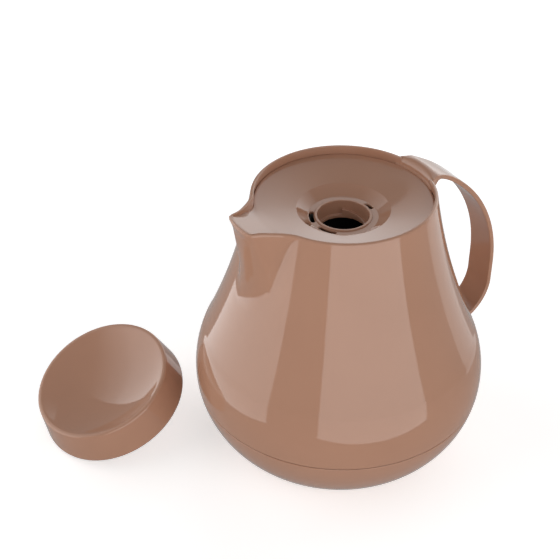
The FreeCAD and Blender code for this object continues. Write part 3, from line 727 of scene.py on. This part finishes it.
def strip_section(half_width):
    """The strap's cross-section as (across, share of the depth) pairs."""
    side = half_width - STRIP_CORNER
    far = STRAP - STRIP_CORNER

    def corner(across, depth, start):
        angles = np.radians(np.linspace(start, start + 90, 7)[1:-1])
        return on_circle((across, depth), STRIP_CORNER, angles)

    loop = [(across, 0.0) for across in np.linspace(-side, side, 25)]
    loop += corner(side, STRIP_CORNER, -90)
    loop += [(half_width, depth) for depth in np.linspace(STRIP_CORNER, far, 4)]
    loop += corner(side, far, 0)
    loop += [(across, STRAP) for across in np.linspace(side, -side, 25)]
    loop += corner(-side, far, 90)
    loop += [(-half_width, depth) for depth in np.linspace(far, STRIP_CORNER, 4)]
    loop += corner(-side, STRIP_CORNER, 180)
    return np.array(loop) / (1.0, STRAP)


def strap_rows():
    """The strap's cross-sections, wide and bowed at the root and plain further out."""
    rows = []
    for top, under in strap_path():
        out = top[0] if top[1] > UPPER_HALF else REACH
        flare = np.clip((FLARE_FROM - out) / FLARE_RUN, 0, 1) ** 2
        across, depth = strip_section(STRAP_HALF + ROOT_FLARE * flare).T
        bow = ease((BOW_FROM - out) / BOW_RUN)
        x = top[0] + (under[0] - top[0]) * depth
        x = x - bow * (BOW_RADIUS - np.sqrt(BOW_RADIUS ** 2 - across ** 2))
        rise = max(top[1] - RIM + 0.1, 0)
        z = top[1] + (under[1] - top[1]) * depth
        z = z - rise * bow * ease((np.abs(across) - DROOP_FROM) / DROOP_RUN)
        rows.append(np.column_stack([x, across, z]))
    return rows


strap_mesh = ring_mesh("strap", strap_rows(), plastic, closed=False)
joined = bmesh.new()
joined.from_mesh(body_mesh)
joined.from_mesh(strap_mesh)
joined.to_mesh(body_mesh)
joined.free()
body_mesh.polygons.foreach_set("use_smooth", [True] * len(body_mesh.polygons))
bpy.data.meshes.remove(strap_mesh)
body_shell = settle(show("body_shell", body_mesh), "pot", "moulding", "outer_body")
print("body and strap have", len(body_shell.data.polygons), "faces")

# %% [markdown]
# ## Pouring tray
#
# Inside the rim sits a dished tray. It falls to a well with a collar and a round neck, and a tongue
# of it runs out through the beak up to the lip. The lathe could turn its middle only, because its
# outer edge follows the beak, so all of it is made from rings as the body is.

# %% Pouring tray
# Neck, collar and well, as radii and heights
NECK = 13.5
NECK_LOW = 133.0
NECK_LEDGE = 134.6
COLLAR = 15.1
COLLAR_TOP = 143.1
COLLAR_FLOOR = 142.4
WELL_FOOT = 18.3
WELL_EDGE = 24.4
WELL_TOP = 147.0
# Slopes of the dish and of the tongue that climbs to the lip
TRAY_SLOPE = 0.2347
TRAY_FLAT = 45.7
TONGUE_FROM = 43.2
TONGUE_HEIGHT = 151.41
TONGUE_SLOPE = 0.335
TONGUE_TOP = RIM + 1.3
TONGUE_BLEND = 0.8
# Outer edge: its gap to the wall, and where it laps over the lip
WALL_DEPTH = 4.0
TRAY_GAP = 0.08
NOSE_WAY = math.radians(24)
NOSE_WAY_RUN = math.radians(10)
NOSE_LAP = 0.1
LIP_LAP = 0.03
LAP_FROM = 4.0
LAP_RUN = 2.5
LAP_WAY = 0.5
# Where the dish leaves the well, then the rounded edge, its hem and the tray's back
DISH_START = 26.4
DISH_START_HEIGHT = 147.47
EDGE = 0.45
HEM = 0.1
HEM_IN = 0.15
HEM_DROP = 0.8
BACK = 2.4
BACK_IN = 1.6
BACK_RISE = 0.9
BACK_STEP = 3.0
BACK_FALL = 0.5
# A limit that keeps the tray's back hidden in the body's wall
HIDDEN_DEPTH = 2.5
HIDDEN_IN = 0.8
UNDERSIDE = [(24.0, 144.6), (23.8, 136.0), (19.6, 136.0), (19.6, 140.5), (15.0, 140.5), (15.0, NECK_LOW)]


def tray_height(x, y):
    """Height of the tray's upper face, where x points to the beak."""
    cone = WELL_TOP + TRAY_SLOPE * (np.minimum(np.hypot(x, y), TRAY_FLAT) - WELL_EDGE)
    tongue = TONGUE_HEIGHT + TONGUE_SLOPE * (x - TONGUE_FROM)
    return np.minimum(soft_max(cone, tongue, TONGUE_BLEND), TONGUE_TOP)


def tray_edge():
    """The tray's outer edge, a hair inside the rim, and flowing over the lip at the nose."""
    wall = skin(AROUND, RIM - WALL_DEPTH, RIM_WALL) - TRAY_GAP
    inner = skin(AROUND, RIM - ROUND_OUT, RIM_WALL) + NOSE_LAP
    near_nose = ease((NOSE_WAY - np.abs(AROUND)) / NOSE_WAY_RUN)
    edge = wall + (inner - wall) * near_nose
    lip_out = skin(AROUND, RIM - ROUND_OUT)
    over = ease((lip_out * np.cos(AROUND) - LIP[0] + LAP_FROM) / LAP_RUN)
    over = over * (np.abs(AROUND) < LAP_WAY)
    return edge + (lip_out + LIP_LAP - edge) * over, over


neck_outline = soften([
    (12.3, NECK_LOW, 0.0), (12.3, NECK_LEDGE, 0.3), (NECK, NECK_LEDGE, 0.3), (NECK, COLLAR_TOP, 0.45),
    (COLLAR, COLLAR_TOP, 0.5), (COLLAR, COLLAR_FLOOR, 0.2), (WELL_FOOT, COLLAR_FLOOR, 0.5),
    (WELL_EDGE, WELL_TOP, 0.7), (DISH_START, DISH_START_HEIGHT, 0.0),
], step=1.2)
edge_out, over_lip = tray_edge()
behind_wall = skin(AROUND, RIM - HIDDEN_DEPTH, HIDDEN_IN)
tray_rows = [ring(out, z) for out, z in neck_outline]
for share in np.linspace(0, 1, 22)[1:]:
    out = DISH_START + (edge_out - EDGE - DISH_START) * share
    tray_rows.append(ring(out, tray_height(out * np.cos(AROUND), out * np.sin(AROUND))))
edge_top = tray_rows[-1][:, 2]
for a in np.radians([18, 36, 54, 72, 90]):
    tray_rows.append(ring(edge_out - EDGE * (1 - math.sin(a)), edge_top - EDGE * (1 - math.cos(a))))
tray_rows.append(ring(edge_out - HEM_IN * over_lip, edge_top - EDGE - HEM - HEM_DROP * over_lip))
back_edge = np.minimum(edge_out - BACK_IN * over_lip, behind_wall)
tray_rows.append(ring(back_edge, edge_top - BACK + BACK_RISE * over_lip))
back_step = np.minimum(edge_out, behind_wall) - BACK_STEP
tray_rows.append(ring(back_step, edge_top - BACK - BACK_FALL))
tray_rows += [ring(out, z) for out, z in UNDERSIDE]
tray_mesh = ring_mesh("pour_tray", tray_rows, plastic)
print("the tray has", len(tray_mesh.polygons), "faces")

# %% [markdown]
# ### Ramp in the neck
#
# A light edge low in the neck is read as a ledge that winds down along its wall. It is too small and
# too plain for a tool of its own: one five-cornered section is repeated round part of a turn, and both
# ends are closed. Its faces stay flat, because its edges are crisp.

# %% Ramp in the neck
# Start and turn in degrees, then heights and radii in millimetres
RAMP_START = 59
RAMP_TURN = 75
RAMP_TOP = 138.2
RAMP_FALL = 3.6
RAMP_LOW = 134.0
RAMP_IN = 12.15
RAMP_BEVEL = 0.2


def ramp_mesh():
    """A ledge on the neck's wall that winds down from one square end."""
    rows = []
    in_wall = NECK + 0.2
    for share in np.linspace(0, 1, 30):
        a = math.radians(RAMP_START - RAMP_TURN * share)
        top = RAMP_TOP - RAMP_FALL * share
        section = [(in_wall, top), (RAMP_IN + RAMP_BEVEL, top), (RAMP_IN, top - RAMP_BEVEL)]
        section += [(RAMP_IN, RAMP_LOW), (in_wall, RAMP_LOW)]
        rows.append([(out * math.cos(a), out * math.sin(a), z) for out, z in section])
    mesh = ring_mesh("neck_ramp", rows, plastic, closed=False)
    form = bmesh.new()
    form.from_mesh(mesh)
    bmesh.ops.holes_fill(form, edges=[edge for edge in form.edges if edge.is_boundary])
    bmesh.ops.recalc_face_normals(form, faces=form.faces)
    form.to_mesh(mesh)
    form.free()
    mesh.polygons.foreach_set("use_smooth", [False] * len(mesh.polygons))
    return mesh


neck_ramp = settle(show("neck_ramp", ramp_mesh()), "pot", "moulding")
print("the ramp has", len(neck_ramp.data.polygons), "faces")

# %% [markdown]
# ### Slots in the collar
#
# The lid's hooks drop through curved slots round the collar. Rings can't leave a hole in the middle
# of a face, so the slots are cut as a milling tool would cut them: a small solid with round ends
# stands in each place and is taken away from the tray.

# %% Slots in the collar
# The cut goes from below the collar's floor to above its top
SLOT_LOW = 139.8
SLOT_TOP = 143.4
SLOT_OUT = 17.9
BEAK_SIDE = 180
SLOTS = [
    # Inner radius in millimetres, then middle direction and half length in degrees
    (15.3, BEAK_SIDE - 26.5, 19),
    (15.3, BEAK_SIDE + 26.5, 19),
    (15.2, 2, 11),
]


def slot_plan(inner, half_angle):
    """A curved slot with round ends, seen from above, to both sides of direction 0."""
    axis = (0.0, 0.0)
    centre = (inner + SLOT_OUT) / 2
    end = (SLOT_OUT - inner) / 2
    tip = math.radians(half_angle) - end / centre
    half_turn = np.linspace(0, math.pi, 9)[1:-1]
    first_hub, last_hub = on_circle(axis, centre, (tip, -tip))
    plan = on_circle(axis, SLOT_OUT, np.linspace(-tip, tip, 13))
    plan += on_circle(first_hub, end, half_turn + tip)
    plan += on_circle(axis, inner, np.linspace(tip, -tip, 13))
    plan += on_circle(last_hub, end, half_turn + math.pi - tip)
    return np.array(plan)


def slot_solid(inner, middle, half_angle):
    """The slot's plan, turned to its place and drawn up to a solid."""
    plan = slot_plan(inner, half_angle) @ turning(math.radians(middle)).T
    count = len(plan)
    points = [(x * MM, y * MM, z * MM) for z in (SLOT_LOW, SLOT_TOP) for x, y in plan]
    faces = [tuple(range(count))[::-1], tuple(range(count, 2 * count))]
    faces += [(j, (j + 1) % count, count + (j + 1) % count, count + j) for j in range(count)]
    mesh = bpy.data.meshes.new("slot")
    mesh.from_pydata(points, [], faces)
    outward(mesh)
    return show("slot", mesh)


pour_tray = show("pour_tray", tray_mesh)
cutters = [slot_solid(*slot) for slot in SLOTS]
for cutter in cutters:
    cut = pour_tray.modifiers.new("slot", "BOOLEAN")
    cut.operation = "DIFFERENCE"
    cut.solver = "EXACT"
    cut.object = cutter
ready = pour_tray.evaluated_get(bpy.context.evaluated_depsgraph_get())
cut_mesh = bpy.data.meshes.new_from_object(ready)
pour_tray.modifiers.clear()
pour_tray.data = cut_mesh
for cutter in cutters:
    bpy.data.objects.remove(cutter)
settle(pour_tray, "pot", "moulding", "pouring_tray")
print("cut", len(cutters), "slots; the tray has", len(cut_mesh.polygons), "faces")

# %% [markdown]
# ## Lid
#
# The lid lies beside the pot, leaning on its seal. Its top is a shallow dish with a soft lip, and
# its skirt flares out to a rounded edge. It is turned upright on the lathe and then laid down by
# moving its mesh, so that its object stays at the origin. The lean is the one at which the skirt's
# edge and the domed seal both touch the floor.

# %% Lid
# The dish, the lid's top and its wall
DISH_LOW = 12.0
DISH_ARC = 72.7
DISH_OUT = 35.9
LID_TOP = 22.0
LID_WALL = 2.2
# The seal's dome, and how the lid leans on it
SEAL_ARC = 25.0
SEAL_RISE = 11.5
LEAN = math.radians(20.85)
LEAN_WAY = math.radians(186)
LID_SPOT = (-109.6, 65.9, SEAL_ARC - SEAL_RISE * math.cos(LEAN))


def dish_edge(radius, arc):
    """Direction from the centre of a bowl's arc to its edge, in degrees, with -90 at its middle."""
    return -90 + math.degrees(math.asin(radius / arc))


dish = [(0.0, DISH_LOW)]
dish += arc_points((0, DISH_LOW + DISH_ARC), DISH_ARC, -90, dish_edge(DISH_OUT, DISH_ARC), 40)
lid_side = soften([
    (*dish[-1], 0.0), (37.0, LID_TOP, 0.8), (39.0, LID_TOP, 1.3), (42.5, 3.0, 2.8), (39.6, 0.0, 1.6),
    (37.4, 18.6, 0.0),
])
under_dish = [(out, z - LID_WALL) for out, z in dish[-2::-1]]
lid_dish = turn("lid_dish", np.vstack([dish[:-1], lid_side, under_dish]), plastic, LARGE_TURN)
lid_place = Matrix.Translation(Vector(LID_SPOT) * MM)
lid_place = lid_place @ Matrix.Rotation(LEAN_WAY, 4, "Z") @ Matrix.Rotation(LEAN, 4, "Y")
lid_dish.data.transform(lid_place)
settle(lid_dish, "lid", "moulding", "lid_shell")
print("the lid leans by", round(math.degrees(LEAN), 2), "degrees")

# %% [markdown]
# ## Rubber pieces
#
# A ring seals the flask's lip against the tray, a thick ring carries the flask, and a dome under the
# lid closes the neck. Silicone is moulded with full round edges, so each one is turned from an
# outline whose corners have generous radii.

# %% Rubber pieces
# The seal's edge, and the stud that holds it in the lid's boss
SEAL_RADIUS = 14.6
SEAL_BACK = -7.4
STUD = 3.0
STUD_HEAD = 4.0
STUD_NECK = -5.4
STUD_TOP = -3.9


def ring_section(inner, outer, low, high, low_round, high_round):
    """Corners of a ring's cross-section, which starts and ends halfway up its inner face."""
    halfway = (low + high) / 2
    return [
        (inner, halfway, 0), (inner, low, low_round), (outer, low, low_round),
        (outer, high, high_round), (inner, high, high_round), (inner, halfway, 0),
    ]


neck_section = soften(ring_section(18.8, 24.6, NECK_LOW, 136.0, 0.9, 0.9), step=1.0)
neck_ring = turn("neck_ring", neck_section, silicone, SMALL_TURN)
settle(neck_ring, "pot", "seal_rubber", "neck_gasket")
pad_section = soften(ring_section(6.5, 19.7, BOWL_FLOOR, 16.0, 1.5, 2.5))
flask_pad = turn("flask_pad", pad_section, silicone, SMALL_TURN)
settle(flask_pad, "pot", "seal_rubber", "base_cushion")
dome = [(0.0, SEAL_RISE - SEAL_ARC)]
dome += arc_points((0, SEAL_RISE), SEAL_ARC, -90, dish_edge(SEAL_RADIUS, SEAL_ARC), 24)
dome_back = soften([
    (*dome[-1], 0), (SEAL_RADIUS, SEAL_BACK, 0.6), (STUD, SEAL_BACK, 0), (STUD, STUD_NECK, 0),
    (STUD_HEAD, STUD_NECK, 0.3), (STUD, STUD_TOP, 0.4), (0, STUD_TOP, 0),
], step=1.0)
lid_dome = turn("lid_dome", np.vstack([dome[:-1], dome_back]), silicone, SMALL_TURN)
lid_dome.data.transform(lid_place)
settle(lid_dome, "lid", "seal_rubber", "lid_seal")

# %% [markdown]
# ## Floor
#
# The pot stands on a plain white floor. A white sheet alone would look grey where the light is weak,
# so the floor glows a little for the camera, more further away, and the shadow near the pot stays.
# Reflections leave the floor out, so that the lower half of the polished pot keeps its colour.

# %% Floor
# In metres
FLOOR_HALF = 6.0
FLOOR_DROP = 0.0002


def plain_floor():
    finish, tree, shader = new_finish("floor")
    shader.inputs["Base Color"].default_value = (0.92, 0.92, 0.92, 1.0)
    shader.inputs["Roughness"].default_value = 0.9
    shader.inputs["Specular IOR Level"].default_value = 0.0
    shader.inputs["Emission Color"].default_value = (1.0, 1.0, 1.0, 1.0)
    place = tree.nodes.new("ShaderNodeTexCoord")
    away = tree.nodes.new("ShaderNodeVectorMath")
    away.operation = "LENGTH"
    tree.links.new(place.outputs["Object"], away.inputs[0])
    paler = tree.nodes.new("ShaderNodeMapRange")
    paler.inputs["From Min"].default_value = 0.5
    paler.inputs["From Max"].default_value = 1.0
    paler.inputs["To Min"].default_value = 0.5
    paler.inputs["To Max"].default_value = 1.0
    tree.links.new(away.outputs["Value"], paler.inputs["Value"])
    path = tree.nodes.new("ShaderNodeLightPath")
    glow = tree.nodes.new("ShaderNodeMath")
    glow.operation = "MULTIPLY"
    tree.links.new(path.outputs["Is Camera Ray"], glow.inputs[0])
    tree.links.new(paler.outputs["Result"], glow.inputs[1])
    tree.links.new(glow.outputs[0], shader.inputs["Emission Strength"])
    return finish


floor_corners = [(x * FLOOR_HALF, y * FLOOR_HALF, 0.0) for x, y in ((-1, -1), (1, -1), (1, 1), (-1, 1))]
floor_mesh = bpy.data.meshes.new("floor")
floor_mesh.from_pydata(floor_corners, [], [(0, 1, 2, 3)])
floor_mesh.materials.append(plain_floor())
floor = show("floor", floor_mesh)
floor.location.z = -FLOOR_DROP
floor.visible_glossy = False
print("the floor is", 2 * FLOOR_HALF, "metres wide")

# %% [markdown]
# ## Light
#
# Polished plastic shows what is around it, so the light is also the pattern on the pot: three tall
# soft boxes stand round it, and their reflections are the pale upright panels. Each box fades towards
# its top, as a real one does that is lit from below, and that fade is the soft end of each panel. A
# round lamp would give the same light, but a spot instead of a panel. The room between the boxes is
# dim, a little brighter in mirrors, and plain white behind the pot.

# %% Light
# Strength of the room's light, and how much is added to it in reflections
DIM_ROOM = 0.12
DIM_IN_MIRRORS = 0.28
# Distance and height of the soft boxes in metres
BOX_AWAY = 1.1
BOX_LOW = -0.44
BOX_HIGH = 2.25
# How bright a box is along its height, as shares from foot to top
FADE = [(0.23, 1.0), (0.36, 1.0), (0.47, 0.70), (0.6, 0.44), (0.75, 0.19)]
FOOT_END = 0.12


def studio_room():
    """White for the camera, dim for the light that falls on the pot."""
    room = bpy.data.worlds.new("studio")
    room.use_nodes = True
    tree = room.node_tree
    dim = tree.nodes["Background"]
    dim.inputs["Color"].default_value = (1.0, 1.0, 1.0, 1.0)
    white = tree.nodes.new("ShaderNodeBackground")
    white.inputs["Color"].default_value = (1.0, 1.0, 1.0, 1.0)
    white.inputs["Strength"].default_value = 1.0
    path = tree.nodes.new("ShaderNodeLightPath")
    mirrored = tree.nodes.new("ShaderNodeMath")
    mirrored.operation = "MULTIPLY_ADD"
    mirrored.inputs[1].default_value = DIM_IN_MIRRORS
    mirrored.inputs[2].default_value = DIM_ROOM
    tree.links.new(path.outputs["Is Glossy Ray"], mirrored.inputs[0])
    tree.links.new(mirrored.outputs[0], dim.inputs["Strength"])
    either = tree.nodes.new("ShaderNodeMixShader")
    tree.links.new(path.outputs["Is Camera Ray"], either.inputs["Fac"])
    tree.links.new(dim.outputs[0], either.inputs[1])
    tree.links.new(white.outputs[0], either.inputs[2])
    tree.links.new(either.outputs[0], tree.nodes["World Output"].inputs["Surface"])
    return room


def soft_box(name, azimuth, half_angle, glow, foot=1.0):
    """An upright soft box that faces the pot and fades towards its top, by direction from +X."""
    lamp = bpy.data.lights.new(name, "AREA")
    lamp.shape = "RECTANGLE"
    lamp.size = 2 * BOX_AWAY * math.tan(math.radians(half_angle))
    lamp.size_y = BOX_HIGH - BOX_LOW
    lamp.energy = 4 * glow * lamp.size * lamp.size_y
    lamp.use_nodes = True
    tree = lamp.node_tree
    spot = tree.nodes.new("ShaderNodeNewGeometry")
    split = tree.nodes.new("ShaderNodeSeparateXYZ")
    fade = tree.nodes.new("ShaderNodeFloatCurve")
    points = fade.mapping.curves[0].points
    points[0].location = (0.0, foot)
    points[1].location = (1.0, 0.0)
    for place, share in [(FOOT_END, foot)] + FADE:
        points.new(place, share)
    fade.mapping.update()
    tree.links.new(spot.outputs["Parametric"], split.inputs[0])
    tree.links.new(split.outputs["Y"], fade.inputs["Value"])
    tree.links.new(fade.outputs[0], tree.nodes["Emission"].inputs["Strength"])
    box = bpy.data.objects.new(name, lamp)
    a = math.radians(azimuth)
    away = Vector((math.cos(a), math.sin(a), 0.0))
    box.location = away * BOX_AWAY + Vector((0, 0, (BOX_LOW + BOX_HIGH) / 2))
    box.rotation_euler = away.to_track_quat("Z", "Y").to_euler()
    box.visible_camera = False
    bpy.context.scene.collection.objects.link(box)
    return box


bpy.context.scene.view_settings.view_transform = "Standard"
bpy.context.scene.world = studio_room()
soft_boxes = [
    soft_box("left_box", 144.2, 41.9, 1.4),
    soft_box("front_box", 262.9, 39.2, 1.5),
    soft_box("back_box", 27.8, 41.3, 1.3, foot=0.35),
]
print("lit by", len(soft_boxes), "soft boxes")
